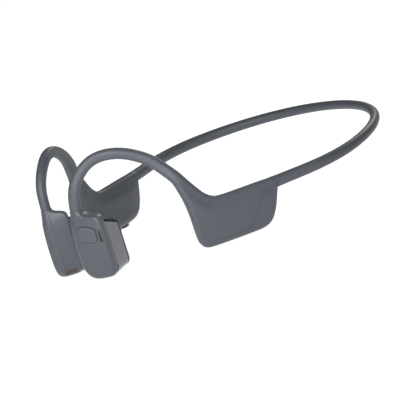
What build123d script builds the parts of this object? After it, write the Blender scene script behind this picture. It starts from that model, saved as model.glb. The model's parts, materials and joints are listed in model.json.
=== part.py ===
from build123d import *
import math
import os

# Bone conduction headphones, in millimetres.
# +X is the wearer's left, -Y the front, +Z up. The module and speaker-unit bottoms stand on Z = 0.
# Every left-hand piece is drawn in place. The right-hand piece is its mirror image in the plane X = 0.

# Neckband: a straight tail behind each module, a side arc, then one wide arc round the nape.
BAND_REAR_RADIUS = 65.8
BAND_SIDE_RADIUS = 40.4
BAND_TAIL = 13.0
BAND_SPLAY = 19.7
BAND_TURN = 22.0
BAND_RISE = 2.6
BAND_R_FRONT = 2.6
BAND_R_REAR = 2.0
HALF_GAP = 0.1
WIRE_R = 0.45
WIRE_HOLE_R = 0.6
WIRE_PITCH = 1.5

# Rear module: a plate on edge, splayed outward like the start of the band.
PLATE_ORIGIN = (48.2, 0.0)
PLATE_HEIGHT = 20.5
PLATE_THICK = 8.0
PLATE_ROUND = 2.4
PLATE_FRONT = -13.8
SEAM_X = 26.4
SEAM_GAP = 0.14
BAND_Z = 18.0
WALL = 1.1
COVER_STRIP = 3.2

# Speaker unit: outer face turned well forward, block and pad behind it against the cheekbone.
UNIT_ORIGIN = (17.7, -49.7)
UNIT_TURN = 35.0
UNIT_LEFT = -8.1
UNIT_RIGHT = 7.7
UNIT_HEIGHT = 28.3
UNIT_PARTING = 5.0
SHELL_DEPTH_FRONT = 13.6
SHELL_DEPTH_REAR = 4.0
BLOCK_DEPTH = 17.2
BLOCK_LOW = 0.6
BLOCK_TOP = 27.0
BLOCK_SLOPE = 0.37
BLOCK_ROUND = 3.4
PAD_THICK = 1.3
HOOK_SEAM = (-3.7, 4.3, 31.8)
HOOK_R = 2.5
HOOK_BORE_R = 1.6
CORNER_LEFT = 7.0
CORNER_RIGHT = 4.5

# Buttons.
MF_BUTTON = ((-3.55, 25.7), (4.05, 23.0), (3.9, 16.3), (-4.3, 18.8))
MF_HALF_WIDTH = 3.95
MF_PROUD = 0.5
BUTTON_GAP = 0.12
VOLUME_X = (4.2, 10.2)
VOLUME_SIZE = (4.8, 2.8)
PORT_X = -4.2
PORT_SIZE = (9.0, 3.3)
LIGHT_X = 13.6

unit_place = Location((UNIT_ORIGIN[0], UNIT_ORIGIN[1], 0), (0, 0, UNIT_TURN))
plate_place = Location((PLATE_ORIGIN[0], PLATE_ORIGIN[1], 0), (0, 0, 90 - BAND_SPLAY))


def upright(points, radii, y_from, y_to):
    """A closed outline in local x and z, each corner rounded, as a slab from y_from to y_to."""
    outline = FilletPolyline(*points, radius=radii, close=True)
    plane = Plane(origin=(0, y_from, 0), x_dir=(1, 0, 0), z_dir=(0, -1, 0))
    return extrude(plane * make_face(outline), amount=-(y_to - y_from))


def block_between(low, high):
    """A box from its lowest corner to its highest."""
    size = [b - a for a, b in zip(low, high)]
    middle = [(a + b) / 2 for a, b in zip(low, high)]
    return Pos(*middle) * Box(*size)


def rounded_block(low, high, radius, axis=Axis.Y):
    """A box with the edges along one axis rounded."""
    box = block_between(low, high)
    return fillet(box.edges().filter_by(axis), radius)


def disc(x, y, z, radius, depth, hole=0.0):
    """A cylinder along local y, starting at y."""
    place = Location((x, y, z), (-90, 0, 0))
    body = Cylinder(radius, depth, align=(Align.CENTER, Align.CENTER, Align.MIN))
    if hole:
        body -= Cylinder(hole, depth, align=(Align.CENTER, Align.CENTER, Align.MIN))
    return place * body


def tube(path, radius):
    """A round bar of constant radius along a path."""
    start = Plane(origin=path @ 0, z_dir=path % 0)
    return sweep(start * Circle(radius), path=path)


def tapered_tube(path, stations):
    """A round bar whose radius changes along a path, given as (fraction, radius) stations."""
    rings = [Plane(origin=path @ at, z_dir=path % at) * Circle(radius) for at, radius in stations]
    return sweep(rings, path=path, multisection=True)


# Paths ---------------------------------------------------------------------------------------

def plate_point(x, y, z):
    """A point of the left module's plate, in the object's frame."""
    return (plate_place * Location((x, y, z))).position


def band_path(lift=0.0):
    """The left half of the neckband's centreline, from the module seam to the nape."""
    splay = math.radians(BAND_SPLAY)
    turn = math.radians(BAND_TURN)
    seam = plate_point(SEAM_X, 0, BAND_Z)
    tail_end = Vector(seam.X + BAND_TAIL * math.sin(splay), seam.Y + BAND_TAIL * math.cos(splay), 0)
    side_centre = tail_end - Vector(math.cos(splay), -math.sin(splay), 0) * BAND_SIDE_RADIUS
    side_mid = side_centre + Vector(1, 0, 0) * BAND_SIDE_RADIUS
    side_end = side_centre + Vector(math.cos(turn), math.sin(turn), 0) * BAND_SIDE_RADIUS
    rear_centre = side_end - Vector(math.cos(turn), math.sin(turn), 0) * BAND_REAR_RADIUS
    sweep_end = math.acos((HALF_GAP - rear_centre.X) / BAND_REAR_RADIUS)
    half_way = (turn + sweep_end) / 2
    rear_mid = rear_centre + Vector(math.cos(half_way), math.sin(half_way), 0) * BAND_REAR_RADIUS
    rear_end = rear_centre + Vector(math.cos(sweep_end), math.sin(sweep_end), 0) * BAND_REAR_RADIUS

    def lifted(point):
        rise = (point.Y - seam.Y) * math.tan(math.radians(BAND_RISE))
        return Vector(point.X, point.Y, BAND_Z + rise + lift)

    first = Vector(seam.X, seam.Y, 0)
    tail = Line(lifted(first), lifted(tail_end))
    side = ThreePointArc(lifted(tail_end), lifted(side_mid), lifted(side_end))
    rear = ThreePointArc(lifted(side_end), lifted(rear_mid), lifted(rear_end))
    return tail, side, rear


HOOK_POINTS = (
    (13.4, -46.9, 40.0),
    (15.8, -42.5, 47.0),
    (19.0, -37.4, 50.6),
    (22.8, -32.4, 51.4),
    (27.0, -27.3, 50.2),
    (31.0, -22.6, 47.4),
    (35.0, -18.3, 43.2),
    (38.6, -15.2, 38.0),
    (42.0, -12.7, 32.6),
)
HOOK_SIDE = Vector(0.763, -0.646, 0)


def hook_path(shift=0.0, below_seam=0.0, end_z=20.0):
    """The ear hook's centreline, from the speaker unit to inside the module's plate."""
    seam_x, seam_y, seam_z = HOOK_SEAM
    start = (unit_place * Location((seam_x, seam_y, seam_z - below_seam))).position
    end = plate_point(-8.0, 0.6, end_z)
    points = [start] + [Vector(*p) for p in HOOK_POINTS] + [end]
    points = [p + HOOK_SIDE * shift for p in points]
    return Spline(*points, tangents=[(0, 0, 1), (0.2, 0.35, -0.9)])


# Speaker unit, in its own frame: x across the face, y inward from the face, z up ---------------

def unit_outline(inset):
    return (
        ((UNIT_LEFT + inset, inset), (UNIT_RIGHT - inset, inset),
         (UNIT_RIGHT - inset, UNIT_HEIGHT - inset), (UNIT_LEFT + inset, UNIT_HEIGHT - 1.2 - inset)),
        (CORNER_LEFT - inset, CORNER_RIGHT - inset, 3.2 - inset, 3.4 - inset),
    )


def behind_slant(offset=0.0):
    """Everything on the block's side of the slanted plane between matte shell and glossy block."""
    slope = (SHELL_DEPTH_REAR - SHELL_DEPTH_FRONT) / (UNIT_RIGHT - UNIT_LEFT)
    angle = math.degrees(math.atan(slope))
    start = Location((UNIT_RIGHT, SHELL_DEPTH_REAR + offset, 14), (0, 0, angle))
    return start * Box(60, 40, 60, align=(Align.CENTER, Align.MIN, Align.CENTER))


def block_form(inset, y_from, y_to):
    """The transducer block: a rounded box whose top slopes down toward the pad."""
    rings = []
    for y in (y_from, y_to):
        top = BLOCK_TOP - BLOCK_SLOPE * (y - SHELL_DEPTH_REAR)
        width = (UNIT_RIGHT - UNIT_LEFT) - 1.6 - 2 * inset
        height = top - BLOCK_LOW - 2 * inset
        middle = ((UNIT_RIGHT + UNIT_LEFT) / 2 + 0.3, y, (BLOCK_LOW + top) / 2)
        plane = Plane(origin=middle, x_dir=(1, 0, 0), z_dir=(0, 1, 0))
        rings.append(plane * RectangleRounded(width, height, BLOCK_ROUND - inset * 0.7))
    return loft(rings)


def unit_cavity():
    points, radii = unit_outline(1.3)
    room = upright(points, radii, 1.3, SHELL_DEPTH_FRONT)
    room -= behind_slant(-1.2)
    return room + block_form(1.2, 3.4, BLOCK_DEPTH - 1.0)


def button_outline(grow):
    """The multifunction key's corners, moved out from their middle by about the given amount."""
    middle_x = sum(x for x, z in MF_BUTTON) / 4
    middle_z = sum(z for x, z in MF_BUTTON) / 4
    reach = 1 + grow / MF_HALF_WIDTH
    return [(middle_x + (x - middle_x) * reach, middle_z + (z - middle_z) * reach) for x, z in MF_BUTTON]


def port_oval(grow, r_from, r_to):
    """The air driver's sound port: a rounded slot halfway round the unit's lower inner corner."""
    outward = Vector(-math.sqrt(0.5), 0, -math.sqrt(0.5))
    corner = Vector(UNIT_LEFT + CORNER_LEFT, 6.9, CORNER_LEFT)
    plane = Plane(origin=corner + outward * r_from, x_dir=(0, 1, 0), z_dir=outward)
    return extrude(plane * SlotOverall(6.0 + 2 * grow, 3.4 + 2 * grow), amount=r_to - r_from)


def mic_slot(grow, y_from, y_to):
    plane = Plane(origin=(5.65, y_from, 19.1), x_dir=(0, 0, 1), z_dir=(0, 1, 0))
    return extrude(plane * SlotOverall(5.4 + 2 * grow, 1.1 + 2 * grow), amount=y_to - y_from)


def speaker_shells(has_button):
    points, radii = unit_outline(0)
    body = upright(points, radii, 0, SHELL_DEPTH_FRONT)
    front_edges = body.faces().sort_by(Axis.Y)[0].edges()
    body = fillet(front_edges, 2.6)
    stem_low = Plane(origin=(HOOK_SEAM[0], HOOK_SEAM[1] + 0.6, 20)) * Circle(3.6)
    stem_high = Plane(origin=HOOK_SEAM) * Circle(HOOK_R)
    body += loft([stem_low, stem_high])
    body -= behind_slant()
    body -= unit_cavity()
    bore = Pos(HOOK_SEAM[0], HOOK_SEAM[1], 28) * Cylinder(HOOK_BORE_R, 14)
    body -= bore
    if has_button:
        body -= upright(button_outline(BUTTON_GAP), (1.9,) * 4, -1, 3)
        body -= mic_slot(0.05, -1, 3)
    body -= port_oval(0.05, 4.0, 9.0)
    front_half = block_between((-30, -5, -5), (30, UNIT_PARTING, 50))
    outer = body & front_half
    rear = body - front_half
    return outer, rear


def multifunction_button():
    cap = upright(button_outline(0), (1.8,) * 4, -MF_PROUD, 0.7)
    rim = cap.faces().sort_by(Axis.Y)[0].edges()
    cap = fillet(rim, 0.3)
    stem = disc(0, 0.7, 21.0, 0.9, 0.65)
    return cap + stem


def speaker_internals(has_button):
    """Pieces inside one speaker unit, by name."""
    pieces = {
        "air_driver": disc(0, 2.0, 8.0, 4.8, 2.6) + disc(0, 4.6, 8.0, 3.2, 1.2),
        "driver_magnet": disc(0, 9.2, 11.2, 5.0, 2.6) - disc(0, 10.2, 11.2, 4.2, 1.6, 3.0),
        "voice_coil": disc(0, 10.6, 11.2, 4.0, 2.2, 3.3),
        "spring_plate": spring_plate(),
        "speaker_board": rounded_block((-4.8, 5.6, 14.0), (4.2, 6.4, 22.6), 1.0),
    }
    if has_button:
        base = block_between((-2.0, 1.95, 19.4), (2.0, 3.4, 22.6))
        pieces["button_switch"] = base + disc(0, 1.75, 21.0, 0.8, 0.25)
        pieces["microphone"] = block_between((4.6, 1.9, 17.4), (6.0, 3.0, 20.8))
        pieces["microphone_mesh"] = mic_slot(0, 0.9, 1.2)
    return pieces


def spring_plate():
    """A thin three-armed flexure between the voice coil and the pad."""
    rim = disc(0, 13.2, 11.2, 5.7, 0.3, 4.9)
    hub = disc(0, 13.2, 11.2, 2.2, 0.3)
    plate = rim + hub
    for turn in (90, 210, 330):
        arm = Location((0, 13.35, 11.2), (0, turn, 0)) * Pos(3.6, 0, 0) * Box(3.2, 0.3, 1.2)
        plate += arm
    return plate


def transducer_housing():
    body = block_form(0, 3.4, BLOCK_DEPTH) & behind_slant()
    points, radii = unit_outline(0)
    matte = upright(points, radii, 0, SHELL_DEPTH_FRONT) - behind_slant()
    body -= matte
    body -= unit_cavity()
    back = rounded_block((-5.9, BLOCK_DEPTH - 1.2, 2.2), (5.9, BLOCK_DEPTH + 1, 18.4), 2.5)
    return body - back


def transducer_pad():
    """The skin-contact pad: a plate on the block's open end with a thin rim and a plug behind it."""
    top = BLOCK_TOP - BLOCK_SLOPE * (BLOCK_DEPTH - SHELL_DEPTH_REAR) - 0.1
    face = rounded_block((-7.3, BLOCK_DEPTH, BLOCK_LOW), (7.3, BLOCK_DEPTH + PAD_THICK, top), 3.2)
    face = fillet(face.faces().sort_by(Axis.Y)[-1].edges(), 0.7)
    plug = rounded_block((-5.8, BLOCK_DEPTH - 1.1, 2.3), (5.8, BLOCK_DEPTH, 18.3), 2.4)
    return face + plug


# Rear module, in its own frame: x along the plate to the rear, y inward, z up -------------------

def plate_form():
    """The module's plate, with the web that runs up into the hook and the collar of the band."""
    plate = upright(
        ((PLATE_FRONT, 0), (18.6, 0), (25.0, 15.4), (25.0, PLATE_HEIGHT), (-1.0, PLATE_HEIGHT),
         (-9.6, 29.6), (-15.6, 29.6), (PLATE_FRONT, 22.0)),
        (5.5, 7.5, 1.5, 1.5, 8.0, 1.0, 1.0, 6.0),
        -PLATE_THICK / 2, PLATE_THICK / 2)
    for face in (plate.faces().sort_by(Axis.Y)[0], plate.faces().sort_by(Axis.Y)[-1]):
        plate = fillet(face.edges(), PLATE_ROUND)
    return plate


def cover_region():
    """The glossy cover's share of the plate: a strip under it that widens into the rear end."""
    return upright(
        ((-20, -5), (40, -5), (40, 17.0), (20.0, 17.0), (11.6, COVER_STRIP), (-20, COVER_STRIP)),
        (0.5, 0.5, 0.5, 3.0, 4.0, 0.5), -10, 10)


def module_room():
    """The space inside the plate for the battery or the main board."""
    half = PLATE_THICK / 2 - WALL
    front = PLATE_FRONT + 1.3
    outline = ((front, 1.2), (17.6, 1.2), (21.6, 11.0), (21.6, 16.8), (front, 17.4))
    return upright(outline, (3.5, 5.0, 2.0, 2.0, 2.0), -half, half)


def arm_casing():
    """The soft-touch skin of one arm: hook, web and module plate in one piece."""
    hook = tapered_tube(hook_path(), ((0, HOOK_R), (0.3, 2.35), (0.6, 2.35), (0.8, 2.7), (1, 3.4)))
    collar_line = Line(plate_point(18, 0, BAND_Z), plate_point(SEAM_X - SEAM_GAP, 0, BAND_Z))
    casing = plate_place * (plate_form() - cover_region())
    casing = casing + hook + tube(collar_line, BAND_R_FRONT)
    casing -= plate_place * module_room()
    for shift in (-WIRE_PITCH / 2, WIRE_PITCH / 2):
        casing -= tube(hook_path(shift, 2.0, 17.4), WIRE_HOLE_R)
        height = BAND_Z + shift
        duct = Line(plate_point(12, 0, height), plate_point(SEAM_X + 1, 0, height))
        casing -= tube(duct, WIRE_HOLE_R)
    return casing


def pill(x, size, grow, z_from, depth):
    """A rounded slot in plan, at the module's underside, as a solid of the given depth."""
    outline = SlotOverall(size[0] + 2 * grow, size[1] + 2 * grow)
    return extrude(Plane(origin=(x, 0, z_from)) * outline, amount=depth)


def module_cover(is_right):
    """The cover of the module, with openings for the port, keys and light on the right."""
    cover = plate_form() & cover_region()
    cover -= module_room()
    collar = Pos(22, 0, BAND_Z) * Rot(0, 90, 0) * Cylinder(BAND_R_FRONT + 0.02, 14)
    cover -= collar
    if is_right:
        cover -= pill(PORT_X, PORT_SIZE, 0.05, -1, 4)
        for x in VOLUME_X:
            cover -= pill(x, VOLUME_SIZE, BUTTON_GAP, -1, 4)
        cover -= Pos(LIGHT_X, -0.1, 1) * Cylinder(0.55, 6)
    return cover


def module_tray():
    """A thin frame that lines the module and holds the battery or the main board."""
    half = PLATE_THICK / 2 - WALL - 0.05
    outer = rounded_block((-12.2, -half, 3.6), (16.0, half, 16.6), 1.8)
    inner = rounded_block((-11.6, -half + 0.6, 3.0), (15.4, half - 0.6, 16.0), 1.4)
    return outer - inner


def usb_c_port():
    shell = pill(PORT_X, PORT_SIZE, 0, 0.3, 6.9)
    mouth = pill(PORT_X, PORT_SIZE, -0.3, 0.3, 6.0)
    tongue = block_between((PORT_X - 3.3, -0.35, 1.5), (PORT_X + 3.3, 0.35, 6.3))
    return shell - mouth + tongue


def volume_button(x, is_plus):
    """One volume key, with a bar or a cross cut shallow in its cap."""
    cap = pill(x, VOLUME_SIZE, 0, 0.1, 1.6)
    mark = Pos(x, 0, 0.1) * Box(1.5, 0.35, 0.3)
    if is_plus:
        mark += Pos(x, 0, 0.1) * Box(0.35, 1.5, 0.3)
    return cap - mark


def volume_switch(x):
    return block_between((x - 1.5, -1.1, 2.1), (x + 1.5, 1.1, 3.4))


def right_module_internals():
    light = Cylinder(0.5, 4.0, align=(Align.CENTER, Align.CENTER, Align.MIN))
    return {
        "usb_c_port": usb_c_port(),
        "volume_up_button": volume_button(VOLUME_X[0], True),
        "volume_down_button": volume_button(VOLUME_X[1], False),
        "volume_up_switch": volume_switch(VOLUME_X[0]),
        "volume_down_switch": volume_switch(VOLUME_X[1]),
        "status_light": Pos(LIGHT_X, -0.1, 0.6) * light,
        "main_board": main_board(),
    }


def main_board():
    sheet = rounded_block((0.9, -0.5, 5.2), (14.6, 0.3, 15.4), 0.8)
    sheet += rounded_block((-11.0, -0.5, 8.0), (2.0, 0.3, 15.4), 0.8)
    radio = block_between((-8.0, 0.3, 9.4), (-3.0, 1.2, 14.0))
    codec = block_between((4.0, 0.3, 7.6), (9.0, 1.2, 12.6))
    return sheet + radio + codec


def battery():
    cell = rounded_block((-10.8, -1.8, 4.4), (14.2, 1.8, 15.4), 1.2, Axis.Z)
    tab = block_between((-2.0, -1.0, 3.7), (2.0, 1.0, 4.4))
    return cell + tab


# Assembly ------------------------------------------------------------------------------------

def neckband_half():
    tail, side, rear = band_path()
    total = tail.length + side.length + rear.length
    at_side = BAND_TAIL / total
    at_rear = (BAND_TAIL + side.length) / total
    stations = ((0, BAND_R_FRONT), (at_side, 2.5), (at_rear, 2.25), (1, BAND_R_REAR))
    sleeve = tapered_tube(Wire([tail, side, rear]), stations)
    for lift in (-WIRE_PITCH / 2, WIRE_PITCH / 2):
        sleeve -= tube(Wire(list(band_path(lift))), WIRE_HOLE_R)
    return sleeve


def band_wire(lift):
    """A wire through the band, from inside the module to the nape."""
    tail, side, rear = band_path(lift)
    lead = Line(plate_point(19.0, 0, BAND_Z + lift), tail @ 0)
    return tube(lead, WIRE_R) + tube(Wire([tail, side, rear]), WIRE_R)


def side_pieces(is_left):
    """Every piece of one half, drawn in the left half's place. The left unit has the button."""
    outer, rear = speaker_shells(is_left)
    unit = {
        "speaker_outer_shell": outer,
        "speaker_rear_shell": rear,
        "transducer_housing": transducer_housing(),
        "transducer_pad": transducer_pad(),
        "port_mesh": port_oval(0, 6.1, 6.4),
    }
    unit.update(speaker_internals(is_left))
    module = {"module_cover": module_cover(not is_left), "module_tray": module_tray()}
    if is_left:
        unit["multifunction_button"] = multifunction_button()
        module["battery"] = battery()
    else:
        module.update(right_module_internals())
    pieces = {
        "arm_casing": arm_casing(),
        "hook_wire": tube(hook_path(WIRE_PITCH / 2, 5.0, 17.4), WIRE_R),
        "hook_cable": tube(hook_path(-WIRE_PITCH / 2, 5.0, 17.4), WIRE_R),
        "neckband_sleeve": neckband_half(),
        "neckband_wire": band_wire(WIRE_PITCH / 2),
        "neckband_cable": band_wire(-WIRE_PITCH / 2),
    }
    for name, solid in unit.items():
        pieces[name] = unit_place * solid
    for name, solid in module.items():
        pieces[name] = plate_place * solid
    return pieces


ONE_OF_A_KIND = (
    "multifunction_button", "button_switch", "microphone", "microphone_mesh", "battery",
    "usb_c_port", "volume_up_button", "volume_down_button", "volume_up_switch",
    "volume_down_switch", "status_light", "main_board",
)

os.makedirs("parts", exist_ok=True)
nodes = {}
for name, solid in side_pieces(True).items():
    nodes[name if name in ONE_OF_A_KIND else "left_" + name] = solid
for name, solid in side_pieces(False).items():
    nodes[name if name in ONE_OF_A_KIND else "right_" + name] = mirror(solid, about=Plane.YZ)

# The origin is the bottom centre of the whole object's box.
boxes = [solid.bounding_box() for solid in nodes.values()]
front = min(box.min.Y for box in boxes)
rear = max(box.max.Y for box in boxes)
centre_y = (front + rear) / 2
print("shift in Y", round(-centre_y, 4), "length", round(rear - front, 3))
for name, solid in nodes.items():
    export_step(Pos(0, -centre_y, 0) * solid, "parts/" + name + ".step")
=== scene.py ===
import json
import math

import bmesh
import bpy
import numpy as np
from mathutils import Matrix, Vector


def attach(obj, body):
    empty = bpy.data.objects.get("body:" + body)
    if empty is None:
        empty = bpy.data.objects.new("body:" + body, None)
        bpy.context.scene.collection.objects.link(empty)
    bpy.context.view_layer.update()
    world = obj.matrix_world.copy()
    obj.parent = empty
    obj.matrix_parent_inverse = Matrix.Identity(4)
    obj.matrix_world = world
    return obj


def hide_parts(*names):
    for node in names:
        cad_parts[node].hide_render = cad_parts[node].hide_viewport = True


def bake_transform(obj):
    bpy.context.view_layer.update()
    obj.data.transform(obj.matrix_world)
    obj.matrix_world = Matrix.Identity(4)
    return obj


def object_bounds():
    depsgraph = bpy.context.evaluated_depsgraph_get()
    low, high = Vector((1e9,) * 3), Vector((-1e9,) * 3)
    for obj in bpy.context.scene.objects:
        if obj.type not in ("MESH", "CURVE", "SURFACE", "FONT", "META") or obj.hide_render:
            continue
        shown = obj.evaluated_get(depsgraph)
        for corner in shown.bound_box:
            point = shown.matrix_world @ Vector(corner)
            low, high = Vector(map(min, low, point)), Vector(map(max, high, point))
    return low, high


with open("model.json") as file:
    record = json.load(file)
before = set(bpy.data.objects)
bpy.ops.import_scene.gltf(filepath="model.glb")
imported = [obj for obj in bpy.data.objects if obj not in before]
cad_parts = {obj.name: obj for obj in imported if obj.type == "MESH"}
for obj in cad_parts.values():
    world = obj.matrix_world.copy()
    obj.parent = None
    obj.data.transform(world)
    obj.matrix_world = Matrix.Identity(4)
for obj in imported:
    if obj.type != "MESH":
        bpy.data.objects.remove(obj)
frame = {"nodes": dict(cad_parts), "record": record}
cad_low, cad_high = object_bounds()

# Shapes are worked out in millimetres, in the left half's own frames, then placed and mirrored.
MM = 0.001
UNIT_ORIGIN = (17.7, -49.7)
UNIT_TURN = math.radians(35.0)
PLATE_ORIGIN = (48.2, 0.0)
BAND_SPLAY = math.radians(19.7)
BAND_TURN = math.radians(22.0)
BAND_RISE = math.radians(2.6)
BAND_TAIL = 13.0
BAND_SIDE_RADIUS = 40.4
BAND_REAR_RADIUS = 65.8
BAND_Z = 18.0
BAND_R_FRONT = 2.6
BAND_R_REAR = 2.0
SEAM_X = 26.4
HOOK_SEAM = (-3.7, 4.3, 31.8)
PARTING = 5.0
SHELL_REAR = 4.0
BLOCK_FRONT = 4.4
BLOCK_DEPTH = 17.2
BLOCK_LEFT = -7.6
BLOCK_RIGHT = 7.55
BLOCK_LOW = 0.6
BLOCK_TOP = 27.1
BLOCK_SLOPE = 0.37
BLOCK_RADII = (7.0, 3.2, 3.4, 3.4)
PAD_THICK = 1.3
PAD_LEFT = -7.5
PAD_RIGHT = 7.6
PAD_LOW = 0.55
PAD_TOP = 22.35
HAIRLINE = 0.07
CUT_REACH = 12

# Degrees and steps of the small bevels, and the angle above which an edge is shaded sharp.
EASE_ANGLE = 40
EASE_SEGMENTS = 2
SHARP_ANGLE = 35
CARRIED_SHARP_ANGLE = 30
CROWNED_SHARP_ANGLE = 50
ROUND_SHARP_ANGLE = 60


# Frames --------------------------------------------------------------------------------------

def rotated(points, turn, origin):
    """Local (x, y, z) points turned about Z and moved to an origin, in the object's millimetres."""
    points = np.atleast_2d(np.asarray(points, float))
    c, s = math.cos(turn), math.sin(turn)
    x = origin[0] + points[:, 0] * c - points[:, 1] * s
    y = origin[1] + points[:, 0] * s + points[:, 1] * c
    return np.stack([x, y, points[:, 2]], axis=1)


def unit_points(points):
    return rotated(points, UNIT_TURN, UNIT_ORIGIN)


def plate_points(points):
    return rotated(points, math.pi / 2 - BAND_SPLAY, PLATE_ORIGIN)


def band_centreline(count):
    """The left half of the neckband's centreline, from the module seam to the nape."""
    seam = plate_points([(SEAM_X, 0, BAND_Z)])[0]
    along = np.array([math.sin(BAND_SPLAY), math.cos(BAND_SPLAY)])
    across = np.array([math.cos(BAND_SPLAY), -math.sin(BAND_SPLAY)])
    tail_end = seam[:2] + along * BAND_TAIL
    side_centre = tail_end - across * BAND_SIDE_RADIUS
    turned = np.array([math.cos(BAND_TURN), math.sin(BAND_TURN)])
    rear_centre = side_centre + turned * (BAND_SIDE_RADIUS - BAND_REAR_RADIUS)
    rear_stop = math.acos(-rear_centre[0] / BAND_REAR_RADIUS)
    lengths = np.array([
        BAND_TAIL,
        BAND_SIDE_RADIUS * (BAND_SPLAY + BAND_TURN),
        BAND_REAR_RADIUS * (rear_stop - BAND_TURN),
    ])
    points = []
    for at in np.linspace(0, lengths.sum(), count):
        if at <= lengths[0]:
            flat = seam[:2] + along * at
        elif at <= lengths[:2].sum():
            angle = -BAND_SPLAY + (at - lengths[0]) / BAND_SIDE_RADIUS
            flat = side_centre + BAND_SIDE_RADIUS * np.array([math.cos(angle), math.sin(angle)])
        else:
            angle = BAND_TURN + (at - lengths[:2].sum()) / BAND_REAR_RADIUS
            flat = rear_centre + BAND_REAR_RADIUS * np.array([math.cos(angle), math.sin(angle)])
        rise = (flat[1] - seam[1]) * math.tan(BAND_RISE)
        points.append((flat[0], flat[1], BAND_Z + rise))
    return np.array(points)


# The drawing's own Y is shifted so that the nape ends where the CAD model's box ends.
NAPE_Y = band_centreline(3)[-1][1] + BAND_R_REAR
SHIFT_Y = cad_high.y / MM - NAPE_Y


def to_frame(points, mirrored):
    """Drawing millimetres to the frame's metres, mirrored for the right-hand side."""
    placed = np.array(points, float)
    placed[:, 1] += SHIFT_Y
    if mirrored:
        placed[:, 0] *= -1
    return placed * MM


# Mesh building -------------------------------------------------------------------------------

def smooth_rows(rows, count, keys=6):
    """Rows of numbers resampled along a natural cubic. The first columns set the spacing."""
    rows = np.asarray(rows, float)
    steps = np.linalg.norm(np.diff(rows[:, :keys], axis=0), axis=1)
    at = np.concatenate([[0], np.cumsum(steps)])
    n = len(rows)
    system = np.zeros((n, n))
    right = np.zeros_like(rows)
    system[0, 0] = 1
    system[-1, -1] = 1
    for i in range(1, n - 1):
        before, after = at[i] - at[i - 1], at[i + 1] - at[i]
        system[i, i - 1:i + 2] = before, 2 * (before + after), after
        right[i] = 6 * ((rows[i + 1] - rows[i]) / after - (rows[i] - rows[i - 1]) / before)
    bend = np.linalg.solve(system, right)
    out = []
    for t in np.linspace(0, at[-1], count):
        i = min(np.searchsorted(at, t, side="right") - 1, n - 2)
        gap = at[i + 1] - at[i]
        a, b = (at[i + 1] - t) / gap, (t - at[i]) / gap
        curve = ((a ** 3 - a) * bend[i] + (b ** 3 - b) * bend[i + 1]) * gap * gap / 6
        out.append(a * rows[i] + b * rows[i + 1] + curve)
    return np.array(out)


def rounded_ring(corners, radii, per_corner, per_side):
    """A closed ring of points round a polygon with rounded corners, always the same count."""
    corners = np.asarray(corners, float)
    ring = []
    starts = []
    for i, corner in enumerate(corners):
        before = corners[i - 1] - corner
        after = corners[(i + 1) % len(corners)] - corner
        reach_before, reach_after = np.linalg.norm(before), np.linalg.norm(after)
        before, after = before / reach_before, after / reach_after
        half = math.acos(np.clip(before @ after, -1, 1)) / 2
        cut = min(radii[i] / math.tan(half), 0.49 * reach_before, 0.49 * reach_after)
        first, last = corner + before * cut, corner + after * cut
        arc = []
        for step in range(per_corner):
            t = step / (per_corner - 1)
            near, far = (1 - t) ** 2, t ** 2
            pull = 2 * t * (1 - t) * math.sin(half)
            arc.append((near * first + pull * corner + far * last) / (near + pull + far))
        starts.append(arc)
    for i, arc in enumerate(starts):
        ring.extend(arc)
        last, following = arc[-1], starts[(i + 1) % len(starts)][0]
        for step in range(1, per_side):
            ring.append(last + (following - last) * step / per_side)
    return np.array(ring)


def mesh_object(name, vertices, faces):
    mesh = bpy.data.meshes.new(name)
    mesh.from_pydata([tuple(v) for v in vertices], [], faces)
    mesh.validate()
    piece = bpy.data.objects.new(name, mesh)
    bpy.context.scene.collection.objects.link(piece)
    tidy_normals(piece)
    return piece


def tidy_normals(piece):
    work = bmesh.new()
    work.from_mesh(piece.data)
    bmesh.ops.remove_doubles(work, verts=work.verts, dist=1e-7)
    bmesh.ops.recalc_face_normals(work, faces=work.faces)
    work.to_mesh(piece.data)
    work.free()


def loft(name, rings, mirrored=False):
    """A skin over rings of points given in drawing millimetres, with its ends closed by fans."""
    count = len(rings[0])
    stacked = np.concatenate(rings)
    faces = []
    for r in range(len(rings) - 1):
        for i in range(count):
            j = (i + 1) % count
            faces.append((r * count + i, r * count + j, (r + 1) * count + j, (r + 1) * count + i))
    for ring_at in (0, len(rings) - 1):
        hub = len(stacked)
        stacked = np.vstack([stacked, rings[ring_at].mean(axis=0)])
        for i in range(count):
            faces.append((ring_at * count + i, ring_at * count + (i + 1) % count, hub))
    return mesh_object(name, to_frame(stacked, mirrored), faces)


def ring_at_depth(outline, y, place):
    """An outline in local x and z, set at one local y and placed in the drawing."""
    outline = np.asarray(outline, float)
    return place(np.stack([outline[:, 0], np.full(len(outline), y), outline[:, 1]], axis=1))


def prism(outline, low, high, place):
    """The two rings of a straight form that runs from y = low to y = high."""
    return [ring_at_depth(outline, y, place) for y in (low, high)]


def cut(piece, cutter, operation):
    """Boolean with a cutter piece, applied, and the cutter removed."""
    step = piece.modifiers.new("cut", "BOOLEAN")
    step.object = cutter
    step.operation = operation
    step.solver = "EXACT"
    bake_modifiers(piece)
    bpy.data.objects.remove(cutter)
    return piece


def bake_modifiers(piece):
    graph = bpy.context.evaluated_depsgraph_get()
    baked = bpy.data.meshes.new_from_object(piece.evaluated_get(graph))
    piece.modifiers.clear()
    piece.data = baked


def ease_edges(piece, width):
    """A small bevel on the edges sharper than the ease angle."""
    step = piece.modifiers.new("ease", "BEVEL")
    step.width = width * MM
    step.segments = EASE_SEGMENTS
    step.limit_method = "ANGLE"
    step.angle_limit = math.radians(EASE_ANGLE)
    step.use_clamp_overlap = True
    bake_modifiers(piece)


def smooth_shading(piece, angle=SHARP_ANGLE):
    for polygon in piece.data.polygons:
        polygon.use_smooth = True
    piece.data.set_sharp_from_angle(angle=math.radians(angle))


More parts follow.
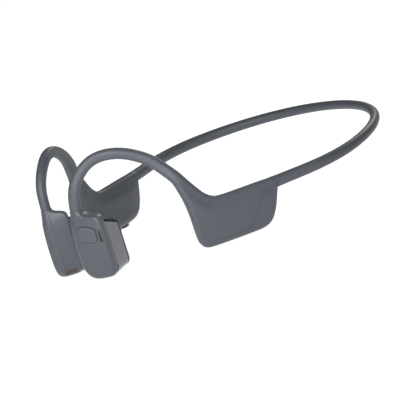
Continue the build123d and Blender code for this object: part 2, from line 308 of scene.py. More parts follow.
def wear(piece, material):
    piece.data.materials.clear()
    piece.data.materials.append(material)


def finish_piece(piece, material, body, replaced):
    """Gives a finished piece its material and its body, and hides the nodes it replaces."""
    wear(piece, material)
    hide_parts(*replaced)
    if body:
        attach(piece, body)
    return piece


# Materials -----------------------------------------------------------------------------------

# Sockets of a Mix node that blends colours.
MIX_DARK = 6
MIX_LIGHT = 7
MIX_RESULT = 2


class Surface:
    """A Principled material with a few helpers for its procedural nodes."""

    def __init__(self, name, colour, roughness, metallic=0.0):
        self.material = bpy.data.materials.new(name)
        self.material.use_nodes = True
        self.nodes = self.material.node_tree.nodes
        self.links = self.material.node_tree.links
        self.shader = self.nodes["Principled BSDF"]
        self.shader.inputs["Base Color"].default_value = (*colour, 1)
        self.shader.inputs["Roughness"].default_value = roughness
        self.shader.inputs["Metallic"].default_value = metallic
        self.place = self.nodes.new("ShaderNodeTexCoord").outputs["Object"]

    def noise(self, scale, detail=3.0, roughness=0.55):
        node = self.nodes.new("ShaderNodeTexNoise")
        node.inputs["Scale"].default_value = scale
        node.inputs["Detail"].default_value = detail
        node.inputs["Roughness"].default_value = roughness
        self.links.new(self.place, node.inputs["Vector"])
        return node.outputs["Fac"]

    def mapped(self, value, low, high):
        node = self.nodes.new("ShaderNodeMapRange")
        node.inputs["From Min"].default_value = 0.3
        node.inputs["From Max"].default_value = 0.7
        node.inputs["To Min"].default_value = low
        node.inputs["To Max"].default_value = high
        self.links.new(value, node.inputs["Value"])
        return node.outputs["Result"]

    def vary_colour(self, value, dark, light):
        node = self.nodes.new("ShaderNodeMix")
        node.data_type = "RGBA"
        node.inputs[MIX_DARK].default_value = (*dark, 1)
        node.inputs[MIX_LIGHT].default_value = (*light, 1)
        self.links.new(value, node.inputs["Factor"])
        self.links.new(node.outputs[MIX_RESULT], self.shader.inputs["Base Color"])

    def vary_roughness(self, value, low, high):
        self.links.new(self.mapped(value, low, high), self.shader.inputs["Roughness"])

    def bump(self, value, strength, depth):
        node = self.nodes.new("ShaderNodeBump")
        node.inputs["Strength"].default_value = strength
        node.inputs["Distance"].default_value = depth
        self.links.new(value, node.inputs["Height"])
        self.links.new(node.outputs["Normal"], self.shader.inputs["Normal"])


def shade(colour, factor):
    return tuple(c * factor for c in colour)


SKIN_GREY = (0.056, 0.063, 0.075)
GLOSS_GREY = (0.026, 0.034, 0.050)


def soft_touch(name, colour, roughness):
    """Matte silicone or soft-touch paint: a fine even grain and faint handling marks."""
    surface = Surface(name, colour, roughness)
    grain = surface.noise(5200, 2.0)
    marks = surface.noise(55, 4.0)
    surface.vary_colour(surface.mapped(marks, 0, 1), shade(colour, 0.955), shade(colour, 1.045))
    surface.vary_roughness(marks, roughness - 0.045, roughness + 0.045)
    surface.bump(grain, 0.35, 0.00003)
    surface.shader.inputs["Specular IOR Level"].default_value = 0.36
    surface.shader.inputs["Sheen Weight"].default_value = 0.05
    surface.shader.inputs["Sheen Roughness"].default_value = 0.5
    return surface.material


def polished(name, colour, roughness):
    """Polished plastic with a clear coat and the faintest moulding ripple."""
    surface = Surface(name, colour, roughness)
    ripple = surface.noise(140, 2.0)
    haze = surface.noise(900, 3.0)
    surface.vary_roughness(haze, roughness * 0.8, roughness * 1.25)
    surface.vary_colour(surface.mapped(ripple, 0, 1), shade(colour, 0.96), shade(colour, 1.04))
    surface.bump(ripple, 0.05, 0.00004)
    surface.shader.inputs["Coat Weight"].default_value = 0.15
    surface.shader.inputs["Coat Roughness"].default_value = 0.08
    return surface.material


def drawn_metal(name, colour, roughness):
    """Bare metal with fine uneven streaks."""
    surface = Surface(name, colour, roughness, metallic=1.0)
    streaks = surface.noise(1800, 4.0)
    surface.vary_roughness(streaks, roughness - 0.07, roughness + 0.09)
    surface.vary_colour(surface.mapped(streaks, 0, 1), shade(colour, 0.9), shade(colour, 1.05))
    surface.bump(streaks, 0.2, 0.00001)
    return surface.material


def moulded(name, colour, roughness):
    """Plain moulded plastic with a fine grain."""
    surface = Surface(name, colour, roughness)
    grain = surface.noise(2600, 3.0)
    surface.vary_roughness(grain, roughness - 0.06, roughness + 0.06)
    surface.vary_colour(surface.mapped(grain, 0, 1), shade(colour, 0.9), shade(colour, 1.1))
    surface.bump(grain, 0.25, 0.00002)
    return surface.material


def light_guide():
    """The cloudy clear lens of the status light."""
    surface = Surface("light_guide", (0.86, 0.9, 0.96), 0.35)
    clouds = surface.noise(1200, 2.0)
    surface.vary_roughness(clouds, 0.28, 0.42)
    surface.shader.inputs["Transmission Weight"].default_value = 0.5
    return surface.material


MATERIALS = {
    "soft_skin": soft_touch("soft_skin", SKIN_GREY, 0.52),
    "shell": soft_touch("shell", SKIN_GREY, 0.44),
    "key": soft_touch("key", shade(SKIN_GREY, 1.06), 0.50),
    "gloss_trim": polished("gloss_trim", GLOSS_GREY, 0.16),
    "pad": moulded("pad", (0.008, 0.008, 0.010), 0.42),
    "port_mesh": drawn_metal("port_mesh", (0.13, 0.115, 0.095), 0.5),
    "titanium": drawn_metal("titanium", (0.46, 0.44, 0.42), 0.32),
    "cable": moulded("cable", (0.015, 0.015, 0.016), 0.55),
    "magnet": drawn_metal("magnet", (0.55, 0.55, 0.57), 0.25),
    "copper": drawn_metal("copper", (0.72, 0.34, 0.18), 0.3),
    "circuit": moulded("circuit", (0.012, 0.085, 0.035), 0.35),
    "cell": drawn_metal("cell", (0.6, 0.61, 0.63), 0.42),
    "inner_plastic": moulded("inner_plastic", (0.03, 0.03, 0.033), 0.5),
    "connector": drawn_metal("connector", (0.52, 0.52, 0.54), 0.3),
    "light": light_guide(),
}


def dress_frame():
    """Each carried-over CAD node takes the material of its slot."""
    for entry in frame["record"]["subparts"]:
        node = frame["nodes"][entry["node"]]
        wear(node, MATERIALS[entry["material_slot"]])
        smooth_shading(node, CARRIED_SHARP_ANGLE)


# Arm skin: hook and module in one form --------------------------------------------------------

# The ear hook's centreline from the unit's seam to the module, in the drawing, then its half
# width and half thickness at each point from the seam on.
HOOK_CENTRES = (
    (13.4, -46.9, 40.0),
    (15.8, -42.5, 47.0),
    (19.0, -37.4, 50.6),
    (22.8, -32.4, 51.4),
    (27.0, -27.3, 50.2),
    (31.0, -22.6, 47.4),
    (35.0, -18.3, 43.2),
    (38.6, -15.2, 38.0),
)
HOOK_HALF_WIDTHS = (2.65, 2.6, 2.5, 2.45, 2.45, 2.45, 2.5, 2.6, 2.7)
HOOK_HALF_THICK = (2.2, 2.2, 2.25, 2.3, 2.35, 2.4, 2.4, 2.45, 2.6)
HOOK_ROUND = 2.1
HOOK_END = (-14.3, 1.5, 33.1)
UNIT_OUTWARD = np.array([math.sin(UNIT_TURN), -math.cos(UNIT_TURN), 0])
PLATE_OUTWARD = np.array([math.cos(BAND_SPLAY), -math.sin(BAND_SPLAY), 0])

# Chords across the module's plate, from its upper edge to its front and lower edge, in the
# plate's own x and z: upper x, upper z, lower x, lower z, middle y, half thickness, half
# thickness of the ridge, lift of the inner lower edge, radii: upper, lower inner, lower outer.
PLATE_CHORDS = (
    (-12.1, 34.8, -16.8, 31.6, 1.5, 2.8, 2.6, 0.0, 2.3, 2.4, 2.4),
    (-10.2, 31.4, -15.9, 28.2, 0.9, 3.1, 2.6, 0.0, 2.3, 2.6, 2.5),
    (-8.2, 28.2, -15.0, 24.0, 0.5, 3.4, 2.6, 0.0, 2.3, 2.8, 2.6),
    (-6.3, 25.3, -14.4, 19.4, 0.2, 3.65, 2.6, 0.0, 2.3, 3.0, 2.7),
    (-4.6, 23.3, -14.1, 14.4, 0.05, 3.85, 2.6, 0.0, 2.3, 3.2, 2.7),
    (-3.1, 22.0, -14.1, 9.8, 0.0, 4.0, 2.6, 0.2, 2.3, 3.3, 2.6),
    (-1.7, 21.2, -14.1, 5.8, 0.0, 4.0, 2.6, 0.5, 2.3, 3.4, 2.5),
    (-0.5, 20.8, -13.6, 2.8, 0.0, 4.0, 2.6, 0.8, 2.3, 3.4, 2.3),
    (0.6, 20.6, -12.3, 1.1, 0.0, 4.0, 2.6, 1.1, 2.3, 3.5, 2.2),
    (1.9, 20.5, -10.0, 0.4, 0.0, 4.0, 2.6, 1.3, 2.3, 3.5, 2.1),
    (4.2, 20.4, -5.0, 0.15, 0.0, 4.0, 2.6, 1.4, 2.3, 3.5, 2.1),
    (8.0, 20.4, 3.0, 0.1, 0.0, 4.0, 2.6, 1.4, 2.3, 3.5, 2.1),
    (12.5, 20.4, 10.3, 0.15, 0.0, 4.0, 2.6, 1.4, 2.3, 3.5, 2.2),
    (16.5, 20.4, 15.6, 0.5, 0.0, 3.9, 2.6, 1.3, 2.3, 3.4, 2.3),
    (19.0, 20.4, 18.8, 1.8, 0.0, 3.75, 2.6, 1.0, 2.3, 3.2, 2.4),
    (21.0, 20.4, 21.3, 4.6, 0.0, 3.5, 2.6, 0.6, 2.3, 3.0, 2.4),
    (22.8, 20.4, 23.3, 8.2, 0.0, 3.2, 2.6, 0.3, 2.3, 2.8, 2.4),
    (24.4, 20.5, 24.8, 11.8, 0.0, 2.9, 2.6, 0.0, 2.4, 2.6, 2.5),
    (25.5, 20.6, 25.8, 14.2, 0.0, 2.7, 2.6, 0.0, 2.5, 2.55, 2.5),
    (26.3, 20.6, 26.3, 15.4, 0.0, 2.6, 2.6, 0.0, 2.55, 2.55, 2.55),
)

# The ridge along the module's upper edge: its flat top, its slope down to the full plate, and the
# shallow hollow under it. The hollow reaches its depth where the plate is this much thicker.
RIDGE_FLAT = 1.6
RIDGE_SPREAD = 4.6
HOLLOW_AT = 4.6
HOLLOW_SPAN = 1.8
HOLLOW_DEPTH = 0.12
HOLLOW_FULL_AT = 1.0
ARM_STATIONS = 210
TRIM_INSET = 0.1
ARM_EASE = 0.18
TRIM_EASE = 0.12


def unit_vector(v):
    return v / np.linalg.norm(v)


def hook_stations():
    """Upper and lower points, outward direction, half thickness and radii down the ear hook."""
    seam = unit_points([HOOK_SEAM])[0]
    leg_end = plate_points([HOOK_END])[0]
    centres = np.vstack([seam, HOOK_CENTRES, leg_end])
    tangents = np.gradient(centres, axis=0)
    tangents[0] = (0, 0, 1)
    stations = []
    for i in range(len(centres) - 1):
        t = i / (len(centres) - 1)
        outward = UNIT_OUTWARD * (1 - t) + PLATE_OUTWARD * t
        along = unit_vector(tangents[i])
        outward = unit_vector(outward - along * (outward @ along))
        convex = unit_vector(np.cross(outward, along))
        half = HOOK_HALF_WIDTHS[i]
        thick = HOOK_HALF_THICK[i]
        upper, lower = centres[i] + convex * half, centres[i] - convex * half
        shape = (thick, thick, 0.0, HOOK_ROUND, HOOK_ROUND, HOOK_ROUND)
        stations.append([*upper, *lower, *outward, *shape])
    return stations


def plate_stations():
    """The same values as the hook's stations, down the module's plate."""
    stations = []
    for ux, uz, lx, lz, y, *shape in PLATE_CHORDS:
        upper, lower = plate_points([(ux, y, uz), (lx, y, lz)])
        stations.append([*upper, *lower, *PLATE_OUTWARD, *shape])
    return stations


def eased(values):
    """Values from 0 to 1 with a soft start and a soft end."""
    values = np.clip(values, 0, 1)
    return values * values * (3 - 2 * values)


def arm_rings(inset=0.0):
    """Sections down the hook and the module. A tubular ridge spreads into the thicker plate."""
    rows = smooth_rows(hook_stations() + plate_stations(), ARM_STATIONS)
    rings = []
    for row in rows:
        upper, lower, outward = row[0:3], row[3:6], unit_vector(row[6:9])
        thick, ridge, lift, upper_r, inner_r, outer_r = row[9:15]
        chord = upper - lower
        length = np.linalg.norm(chord)
        chord = chord / length
        half = length / 2 - inset
        middle = (upper + lower) / 2
        corners = ((half, thick), (half, -thick), (lift - half, -thick), (-half, thick))
        radii = (upper_r, upper_r, inner_r, outer_r)
        flat = rounded_ring(corners, radii, per_corner=9, per_side=12)
        below = half - flat[:, 0]
        share = ridge / thick + (1 - ridge / thick) * eased((below - RIDGE_FLAT) / RIDGE_SPREAD)
        swell = eased((thick - ridge) / HOLLOW_FULL_AT)
        hollow = swell * HOLLOW_DEPTH * np.exp(-((below - HOLLOW_AT) / HOLLOW_SPAN) ** 2)
        across = flat[:, 1] * (share - hollow / thick) * (thick - inset) / thick
        rings.append(middle + flat[:, :1] * chord + across[:, None] * outward)
    return rings


def trim_line(grow):
    """The lower region that the trim covers: a strip that widens into the rear panel."""
    corners = (
        (-25, -6), (36, -6), (36, 17.3 + grow), (20.0 - grow * 0.5, 16.9 + grow),
        (9.2 - grow * 0.8, 2.7 + grow), (-25, 3.9 + grow),
    )
    radii = (0.5, 0.5, 0.5, 4.2, 6.0, 0.5)
    return rounded_ring(corners, radii, per_corner=12, per_side=2)


def trim_region(grow, mirrored):
    outline = trim_line(grow)
    return loft("cutter", prism(outline, -CUT_REACH, CUT_REACH, plate_points), mirrored)


def arm_skin(side, mirrored):
    """The soft skin of the hook and the module, without the region of the trim."""
    piece = loft(side + "_arm_skin", arm_rings(), mirrored)
    cut(piece, trim_region(HAIRLINE, mirrored), "DIFFERENCE")
    ease_edges(piece, ARM_EASE)
    smooth_shading(piece)
    return finish_piece(
        piece, MATERIALS["soft_skin"], side + "_half", [side + "_arm_casing"])


def module_trim(side, mirrored):
    """The trim along the module's lower edge and rear end, a little below the skin's level."""
    piece = loft(side + "_module_trim", arm_rings(TRIM_INSET), mirrored)
    cut(piece, trim_region(0.0, mirrored), "INTERSECT")
    ease_edges(piece, TRIM_EASE)
    smooth_shading(piece)
    return finish_piece(
        piece, MATERIALS["shell"], side + "_half", [side + "_module_cover"])


# Neckband ------------------------------------------------------------------------------------

BAND_STATIONS = 130
BAND_AROUND = 36
BAND_TAPER_RATE = 1.15
BAND_TAPER_POWER = 0.8


def neckband():
    """The sleeve from module to module. It is blended between the halves round the nape."""
    left = band_centreline(BAND_STATIONS)
    full = np.vstack([left, (left * (-1, 1, 1))[::-1][1:]])
    tangents = np.gradient(full, axis=0)
    steps = np.linalg.norm(np.diff(full, axis=0), axis=1)
    at = np.concatenate([[0], np.cumsum(steps)])
    rings = []
    for centre, tangent, s in zip(full, tangents, at):
        share = min(s, at[-1] - s) / (at[-1] / 2)
        taper = min(1.0, share * BAND_TAPER_RATE) ** BAND_TAPER_POWER
        radius = BAND_R_FRONT + (BAND_R_REAR - BAND_R_FRONT) * taper
        along = unit_vector(tangent)
        side = unit_vector(np.cross(along, (0, 0, 1)))
        up = np.cross(side, along)
        turns = np.linspace(0, 2 * math.pi, BAND_AROUND, endpoint=False)
        rings.append(centre + radius * (np.cos(turns)[:, None] * side + np.sin(turns)[:, None] * up))
    piece = loft("neckband", rings)
    smooth_shading(piece, ROUND_SHARP_ANGLE)
    finish_piece(
        piece, MATERIALS["soft_skin"], None,
        ["left_neckband_sleeve", "right_neckband_sleeve"])
    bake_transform(piece)


# Speaker unit --------------------------------------------------------------------------------

# Slices of the matte shell from the hook seam down, in the unit's own frame. Each gives its
# front left, front right, back right and back left corner as x, y, z, then their edge radii.
UNIT_SLICES = (
    (-6.4, 2.1, 31.75, -1.05, 2.1, 31.75, -1.05, 6.5, 31.75, -6.4, 6.5, 31.75, 2.1, 2.1, 2.1, 2.1),
    (-6.6, 1.9, 30.7, -0.95, 1.9, 30.9, -0.9, 6.7, 30.9, -6.45, 6.9, 31.35, 2.3, 2.1, 2.1, 2.1),
    (-6.85, 1.7, 29.4, -0.35, 1.65, 29.95, -0.3, 7.0, 30.0, -6.6, 7.8, 30.85, 2.5, 2.0, 1.9, 1.9),
    (-7.1, 1.5, 28.2, 0.8, 1.4, 29.25, 0.9, 7.1, 29.35, -6.8, 9.2, 30.4, 2.6, 1.9, 1.7, 1.7),
    (-7.35, 1.25, 26.8, 2.6, 1.1, 28.75, 2.7, 6.8, 28.85, -7.05, 11.0, 29.95, 2.8, 1.8, 1.4, 1.5),
    (-7.55, 1.05, 25.3, 4.6, 0.8, 28.4, 4.7, 6.2, 28.45, -7.35, 12.5, 29.45, 2.9, 1.8, 1.1, 1.4),
    (-7.75, 0.85, 23.7, 6.3, 0.6, 27.8, 6.35, 5.4, 27.8, -7.6, 13.5, 28.6, 3.0, 1.9, 0.9, 1.3),
    (-7.9, 0.65, 22.0, 7.25, 0.45, 26.7, 7.25, 4.75, 26.7, -7.8, 13.9, 27.2, 3.1, 2.0, 0.7, 1.3),
    (-8.0, 0.5, 20.2, 7.6, 0.3, 25.0, 7.6, 4.3, 25.0, -7.95, 14.0, 25.0, 3.2, 2.2, 0.6, 1.3),
    (-8.07, 0.4, 18.2, 7.7, 0.2, 22.9, 7.7, 4.1, 22.9, -8.05, 14.0, 22.0, 3.2, 2.4, 0.6, 1.3),
    (-8.1, 0.3, 15.5, 7.7, 0.1, 20.3, 7.7, 4.0, 20.3, -8.1, 14.0, 18.2, 3.2, 2.5, 0.6, 1.3),
    (-8.1, 0.25, 11.5, 7.7, 0.0, 14.0, 7.7, 4.0, 14.0, -8.1, 14.0, 13.0, 3.2, 2.5, 0.6, 1.3),
    (-7.9, 0.3, 8.0, 7.7, 0.0, 8.4, 7.7, 4.0, 8.4, -7.9, 14.0, 8.4, 3.2, 2.5, 0.6, 1.3),
    (-7.2, 0.5, 4.9, 7.55, 0.2, 4.6, 7.55, 4.0, 4.6, -7.2, 13.8, 5.1, 3.1, 2.5, 0.6, 1.3),
    (-6.0, 0.9, 2.6, 7.0, 0.7, 2.4, 7.0, 4.2, 2.4, -6.0, 13.4, 2.8, 2.9, 2.4, 0.7, 1.3),
    (-4.4, 1.7, 1.1, 5.9, 1.6, 1.0, 5.9, 4.8, 1.0, -4.4, 12.6, 1.3, 2.6, 2.1, 0.8, 1.3),
    (-2.6, 3.0, 0.3, 4.4, 2.9, 0.25, 4.4, 5.6, 0.25, -2.6, 11.2, 0.4, 2.1, 1.6, 0.9, 1.2),
    (-0.8, 4.6, 0.02, 2.6, 4.4, 0.02, 2.6, 6.2, 0.02, -0.8, 9.4, 0.05, 1.2, 0.9, 0.6, 1.0),
)
UNIT_STATIONS = 200
UNIT_TOP = 31.75
UNIT_EASE = 0.14

# The face is slightly crowned. Above a sloping line over the key, and to the right of an edge, it
# steps back. Both fade out over the same distance behind the face and below the hook's seam.
FACE_CROWN = 0.15
FACE_FADE = 3.0
STEP_LINE = (-6.0, 27.1)
STEP_SLOPE = -0.325
STEP_EDGE = 6.5
STEP_SPAN = 0.35
STEP_DEPTH = 0.14


def unit_rings():
    """Rings of the shell, with the crown and the step in its face."""
    rows = smooth_rows(UNIT_SLICES, UNIT_STATIONS, keys=12)
    rings = []
    for row in rows:
        corners = row[:12].reshape(4, 3)
        width = np.linalg.norm(corners[1] - corners[0])
        depth = np.linalg.norm(corners[3] - corners[0])
        right_depth = corners[2, 1] - corners[1, 1]
        outline = ((0, 0), (width, 0), (width, right_depth), (0, depth))
        flat = rounded_ring(outline, row[12:16], per_corner=8, per_side=14)
        across = np.clip(flat[:, :1] / width, 0, 1)
        reach = depth + (right_depth - depth) * across
        back = np.clip(flat[:, 1:] / reach, 0, 1)
        front_line = corners[0] + (corners[1] - corners[0]) * across
        back_line = corners[3] + (corners[2] - corners[3]) * across
        ring = front_line + (back_line - front_line) * back
        front = np.clip(1 - back[:, 0] * reach[:, 0] / FACE_FADE, 0, 1)
        ring[:, 1] -= FACE_CROWN * front * np.sin(np.pi * across[:, 0])
        above = ring[:, 2] - STEP_LINE[1] - STEP_SLOPE * (ring[:, 0] - STEP_LINE[0])
        settled = np.clip(np.maximum(above, ring[:, 0] - STEP_EDGE) / STEP_SPAN, 0, 1)
        fade = np.clip((UNIT_TOP - ring[:, 2]) / FACE_FADE, 0, 1)
        ring[:, 1] += STEP_DEPTH * front * fade * (1 - (1 - settled) ** 2)
        rings.append(unit_points(ring))
    return rings


BUTTON_CORNERS = ((-4.3, 18.8), (3.9, 16.3), (4.05, 23.0), (-3.55, 25.7))
BUTTON_MIDDLE = np.mean(BUTTON_CORNERS, axis=0)
BUTTON_RADIUS = 1.9
BUTTON_GAP = 0.17
BUTTON_POCKET = 1.7

# The microphone's slot beside the key and the grille in it: half width, low end, high end and x.
MIC_SLOT = (0.55, 16.4, 21.75, 5.65)
MIC_GRILLE = (0.52, 16.43, 21.72, 5.65)
MIC_POCKET = 1.3
FACE_CLEAR = -4

# The sound port's oval: half width, half height, the corner it lies on, and its depths outward.
PORT_HALF_WIDTH = 1.7
PORT_HALF_HEIGHT = 3.0
PORT_CORNER = (-1.1, 6.9, 7.0)
PORT_FLOOR = 5.9
PORT_CLEAR = 12
PORT_GRILLE_LEVEL = 6.1
PORT_GRILLE_GAP = 0.03


def button_outline(grow):
    corners = []
    for corner in np.array(BUTTON_CORNERS):
        corners.append(corner + grow * np.sign(corner - BUTTON_MIDDLE))
    return rounded_ring(corners, (BUTTON_RADIUS + grow,) * 4, per_corner=8, per_side=6)


def slot_outline(half_width, low, high, x):
    left, right = x - half_width, x + half_width
    corners = ((left, low), (right, low), (right, high), (left, high))
    return rounded_ring(corners, (half_width,) * 4, per_corner=7, per_side=4)


def port_outline(grow):
    """The sound port's oval in its own plane: round the corner, and along the depth."""
    end = PORT_HALF_HEIGHT + grow
    return slot_outline(PORT_HALF_WIDTH + grow, -end, end, 0.0)


def port_points(points):
    """Oval plane (across, outward, along the depth) to the drawing's millimetres."""
    points = np.asarray(points, float)
    diagonal = math.sqrt(0.5)
    x = PORT_CORNER[0] + (points[:, 0] - points[:, 1]) * diagonal
    z = PORT_CORNER[2] - (points[:, 0] + points[:, 1]) * diagonal
    y = PORT_CORNER[1] + points[:, 2]
    return unit_points(np.stack([x, y, z], axis=1))


def half_space(y_from, y_to, mirrored):
    """A block wider and taller than the unit, between two depths."""
    box = ((-30, -20), (30, -20), (30, 60), (-30, 60))
    return loft("cutter", prism(box, y_from, y_to, unit_points), mirrored)


def speaker_shell(side, mirrored, front):
    """The matte shell's outer or rear part, split at the parting line."""
    name = side + ("_speaker_front_shell" if front else "_speaker_back_shell")
    piece = loft(name, unit_rings(), mirrored)
    if not mirrored and front:
        pockets = (
            (button_outline(BUTTON_GAP), BUTTON_POCKET), (slot_outline(*MIC_SLOT), MIC_POCKET))
        for outline, depth in pockets:
            pocket = prism(outline, FACE_CLEAR, depth, unit_points)
            cut(piece, loft("cutter", pocket), "DIFFERENCE")
    port = prism(port_outline(0), PORT_FLOOR, PORT_CLEAR, port_points)
    cut(piece, loft("cutter", port, mirrored), "DIFFERENCE")
    if front:
        keep = half_space(-10, PARTING - HAIRLINE / 2, mirrored)
    else:
        keep = half_space(PARTING + HAIRLINE / 2, 30, mirrored)
    cut(piece, keep, "INTERSECT")
    ease_edges(piece, UNIT_EASE)
    smooth_shading(piece)
    node = "_speaker_outer_shell" if front else "_speaker_rear_shell"
    return finish_piece(piece, MATERIALS["shell"], side + "_half", [side + node])


def transducer_block(side, mirrored):
    """The glossy block behind the shell, with a sloping top and eased rear edges."""
    stations = [(y, 0.0) for y in np.linspace(BLOCK_FRONT, BLOCK_DEPTH - 0.5, 24)]
    stations += [(BLOCK_DEPTH - 0.25, 0.04), (BLOCK_DEPTH - 0.08, 0.14), (BLOCK_DEPTH, 0.3)]
    rings = []
    for y, shrink in stations:
        top = BLOCK_TOP - BLOCK_SLOPE * (y - SHELL_REAR) - shrink
        left, right, low = BLOCK_LEFT + shrink, BLOCK_RIGHT - shrink, BLOCK_LOW + shrink
        corners = ((left, low), (right, low), (right, top), (left, top))
        flat = rounded_ring(corners, BLOCK_RADII, per_corner=12, per_side=8)
        rings.append(ring_at_depth(flat, y, unit_points))
    piece = loft(side + "_transducer_block", rings, mirrored)
    smooth_shading(piece)
    return finish_piece(
        piece, MATERIALS["gloss_trim"], side + "_half",
        [side + "_transducer_housing"])


def transducer_pad(side, mirrored):
    """The pad that touches the cheekbone: a rounded rim round a slightly sunken face."""
    rear = BLOCK_DEPTH + PAD_THICK
    profile = (
        (BLOCK_DEPTH - 0.4, 0.5), (BLOCK_DEPTH + 0.05, 0.12), (BLOCK_DEPTH + 0.2, 0.0),
        (rear - 0.5, 0.0), (rear - 0.2, 0.12), (rear - 0.05, 0.4), (rear, 0.8),
        (rear - 0.02, 2.2), (rear - 0.12, 2.5), (rear - 0.12, 5.0),
    )
    rings = []
    for y, inset in profile:
        left, right = PAD_LEFT + inset, PAD_RIGHT - inset
        low, top = PAD_LOW + inset, PAD_TOP - inset
        corners = ((left, low), (right, low), (right, top), (left, top))
        radii = [max(radius - inset, 0.6) for radius in BLOCK_RADII]
        flat = rounded_ring(corners, radii, per_corner=12, per_side=6)
        rings.append(ring_at_depth(flat, y, unit_points))
    piece = loft(side + "_contact_pad", rings, mirrored)
    smooth_shading(piece, CROWNED_SHARP_ANGLE)
    return finish_piece(piece, MATERIALS["pad"], side + "_half", [side + "_transducer_pad"])


def multifunction_button():
    """A soft-cornered key, slightly crowned, standing just proud of the face."""
    edge = button_outline(0)
    profile = (
        (0.9, 1.0), (-0.05, 1.0), (-0.2, 0.988), (-0.32, 0.962), (-0.41, 0.92), (-0.47, 0.84),
        (-0.52, 0.68), (-0.55, 0.5), (-0.57, 0.3), (-0.58, 0.1),
    )
    rings = []
    for y, size in profile:
        rings.append(ring_at_depth(
            BUTTON_MIDDLE + (edge - BUTTON_MIDDLE) * size, y, unit_points))
    piece = loft("multifunction_key_cap", rings)
    smooth_shading(piece, CROWNED_SHARP_ANGLE)
    return finish_piece(
        piece, MATERIALS["key"], "multifunction_key", ["multifunction_button"])


# Grilles: rows of holes per pitch in a hexagonal field, the share of the outline inside the rim,
# the sides of a hole, and how far its cutter passes the sheet.
HEX_ROW = 0.866
RIM_SHARE = 0.94
HOLE_SIDES = 8
HOLE_CLEAR = 0.2


def perforated_sheet(name, outline, place, level, thickness, pitch, hole, mirrored):
    """A thin sheet inside an outline, pierced by a hexagonal field of round holes."""
    low, high = outline.min(axis=0), outline.max(axis=0)
    sheet = loft(name, prism(outline, level, level + thickness, place), mirrored)
    inner = outline.mean(axis=0) + (outline - outline.mean(axis=0)) * RIM_SHARE
    turns = np.linspace(0, 2 * math.pi, HOLE_SIDES, endpoint=False)
    cutters = []
    rows = int((high[1] - low[1]) / (pitch * HEX_ROW)) + 1
    for row in range(rows):
        z = low[1] + (row + 0.5) * pitch * HEX_ROW
        x = low[0] + pitch * (0.5 if row % 2 else 0.25)
        while x < high[0]:
            circle = np.stack([x + hole * np.cos(turns), z + hole * np.sin(turns)], axis=1)
            if all(inside(point, inner) for point in circle):
                cutters.append(circle)
            x += pitch
    merged = None
    for circle in cutters:
        ends = level - HOLE_CLEAR, level + thickness + HOLE_CLEAR
        rod = loft("cutter", prism(circle, *ends, place), mirrored)
        merged = rod if merged is None else join(merged, rod)
    return cut(sheet, merged, "DIFFERENCE")


def inside(point, polygon):
    """Whether a point lies inside a closed outline, by crossings of a ray."""
    crossings = False
    for a, b in zip(polygon, np.roll(polygon, -1, axis=0)):
        if (a[1] > point[1]) != (b[1] > point[1]):
            at = a[0] + (point[1] - a[1]) / (b[1] - a[1]) * (b[0] - a[0])
            if point[0] < at:
                crossings = not crossings
    return crossings


def join(first, second):
    """Two meshes as one object."""
    work = bmesh.new()
    work.from_mesh(first.data)
    work.from_mesh(second.data)
    work.to_mesh(first.data)
    work.free()
    bpy.data.objects.remove(second)
    return first


def port_mesh(side, mirrored):
    piece = perforated_sheet(
        side + "_port_grille", port_outline(-PORT_GRILLE_GAP), port_points,
        level=PORT_GRILLE_LEVEL, thickness=0.25, pitch=0.62, hole=0.2, mirrored=mirrored)
    return finish_piece(
        piece, MATERIALS["port_mesh"], side + "_half", [side + "_port_mesh"])


def microphone_grille():
    piece = perforated_sheet(
        "microphone_grille", slot_outline(*MIC_GRILLE), unit_points,
        level=0.85, thickness=0.2, pitch=0.42, hole=0.13, mirrored=False)
    return finish_piece(
        piece, MATERIALS["port_mesh"], "left_half", ["microphone_mesh"])


# Stage ---------------------------------------------------------------------------------------

VIEW_TURN = math.radians(33.0)
VIEW_PITCH = math.radians(22.0)
VIEW_ROLL = math.radians(-1.36)
VIEW_LIFT = math.radians(0.5)
VIEW_DISTANCE = 3.0
VIEW_WIDTH = 0.18087
SENSOR_WIDTH = 36
AIM_RIGHT = 22.6
AIM_DOWN = 6.4
PLATE_Z = 21.4


def make_camera():
    """A long lens from the wearer's front left. The object leans back by the pitch as it is seen."""
    nose_down = Matrix.Rotation(VIEW_PITCH, 3, "X")
    lean = nose_down.inverted()
    right = lean @ Vector((math.sin(VIEW_TURN), math.cos(VIEW_TURN), 0))
    up = lean @ Vector((0, 0, 1))
    away = lean @ Vector((-math.cos(VIEW_TURN), math.sin(VIEW_TURN), 0))
    sink = Matrix.Rotation(-VIEW_LIFT, 3, right)
    up, away = sink @ up, sink @ away
    rolled_right = right * math.cos(VIEW_ROLL) - up * math.sin(VIEW_ROLL)
    rolled_up = right * math.sin(VIEW_ROLL) + up * math.cos(VIEW_ROLL)
    plate_top = Vector((0, SHIFT_Y * MM, PLATE_Z * MM))
    aim = plate_top + (right * AIM_RIGHT - up * AIM_DOWN) * MM
    camera = bpy.data.objects.new("camera", bpy.data.cameras.new("camera"))
    bpy.context.scene.collection.objects.link(camera)
    turn = Matrix((rolled_right, rolled_up, -away)).transposed()
    camera.matrix_world = Matrix.Translation(aim - away * VIEW_DISTANCE) @ turn.to_4x4()
    camera.data.sensor_width = SENSOR_WIDTH
    camera.data.lens = SENSOR_WIDTH * VIEW_DISTANCE / VIEW_WIDTH
    camera.data.clip_end = 20
    bpy.context.scene.camera = camera


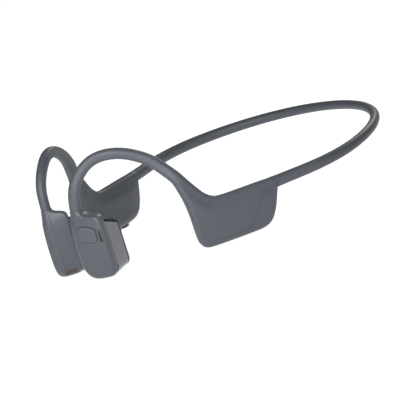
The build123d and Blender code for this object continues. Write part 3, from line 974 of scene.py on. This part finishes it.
# Lights: name, place, width and height, and power. All of them face the near unit.
NEAR_SIDE = (0.035, -0.04, 0.025)
LIGHTS = (
    ("key", (0.22, -0.30, 0.2), (0.2, 0.2), 2.0),
    ("side_fill", (0.42, 0.13, 0.22), (0.3, 0.2), 0.12),
    ("rim", (-0.5, -0.5, 0.2), (0.1, 0.4), 0.05),
    ("back_strip", (-0.33, 0.59, 0.36), (0.35, 0.09), 1.6),
    ("overhead", (-0.05, 0.12, 0.6), (0.5, 0.12), 0.2),
)
WORLD_STRENGTH = 0.12
FLOOR_REACH = 6.0
FLOOR_GAP = 0.0002
FLOOR_GLOW = 0.9


def area_light(name, place, size, power):
    lamp = bpy.data.lights.new(name, "AREA")
    lamp.shape = "RECTANGLE"
    lamp.size, lamp.size_y = size
    lamp.energy = power
    light = bpy.data.objects.new(name, lamp)
    light.location = place
    light.rotation_euler = (Vector(NEAR_SIDE) - Vector(place)).to_track_quat("-Z", "Y").to_euler()
    bpy.context.scene.collection.objects.link(light)


def make_world():
    """A dim studio: dark round the horizon, brighter overhead."""
    world = bpy.data.worlds.new("studio")
    bpy.context.scene.world = world
    world.use_nodes = True
    nodes, links = world.node_tree.nodes, world.node_tree.links
    place = nodes.new("ShaderNodeTexCoord")
    height = nodes.new("ShaderNodeSeparateXYZ")
    ramp = nodes.new("ShaderNodeValToRGB")
    links.new(place.outputs["Generated"], height.inputs["Vector"])
    links.new(height.outputs["Z"], ramp.inputs["Fac"])
    links.new(ramp.outputs["Color"], nodes["Background"].inputs["Color"])
    ramp.color_ramp.elements[0].position = 0.1
    ramp.color_ramp.elements[0].color = (0.16, 0.17, 0.18, 1)
    ramp.color_ramp.elements[1].position = 0.85
    ramp.color_ramp.elements[1].color = (0.8, 0.82, 0.85, 1)
    nodes["Background"].inputs["Strength"].default_value = WORLD_STRENGTH


def make_floor():
    """A pale floor that glows enough to read as white."""
    reach = FLOOR_REACH
    corners = [(-reach, -reach, 0), (reach, -reach, 0), (reach, reach, 0), (-reach, reach, 0)]
    mesh = bpy.data.meshes.new("floor")
    mesh.from_pydata(corners, [], [(0, 1, 2, 3)])
    floor = bpy.data.objects.new("floor", mesh)
    bpy.context.scene.collection.objects.link(floor)
    floor.location.z = cad_low.z - FLOOR_GAP
    surface = Surface("floor", (0.35, 0.35, 0.35), 0.9)
    surface.shader.inputs["Emission Color"].default_value = (1, 1, 1, 1)
    surface.shader.inputs["Emission Strength"].default_value = FLOOR_GLOW
    surface.vary_roughness(surface.noise(30), 0.85, 0.95)
    floor.data.materials.append(surface.material)


def make_studio():
    make_world()
    for light in LIGHTS:
        area_light(*light)
    make_floor()
    bpy.context.scene.view_settings.view_transform = "Standard"


# Assembly ------------------------------------------------------------------------------------

dress_frame()
for side, mirrored in (("left", False), ("right", True)):
    arm_skin(side, mirrored)
    module_trim(side, mirrored)
    speaker_shell(side, mirrored, True)
    speaker_shell(side, mirrored, False)
    transducer_block(side, mirrored)
    transducer_pad(side, mirrored)
    port_mesh(side, mirrored)
multifunction_button()
microphone_grille()
neckband()
make_studio()
make_camera()
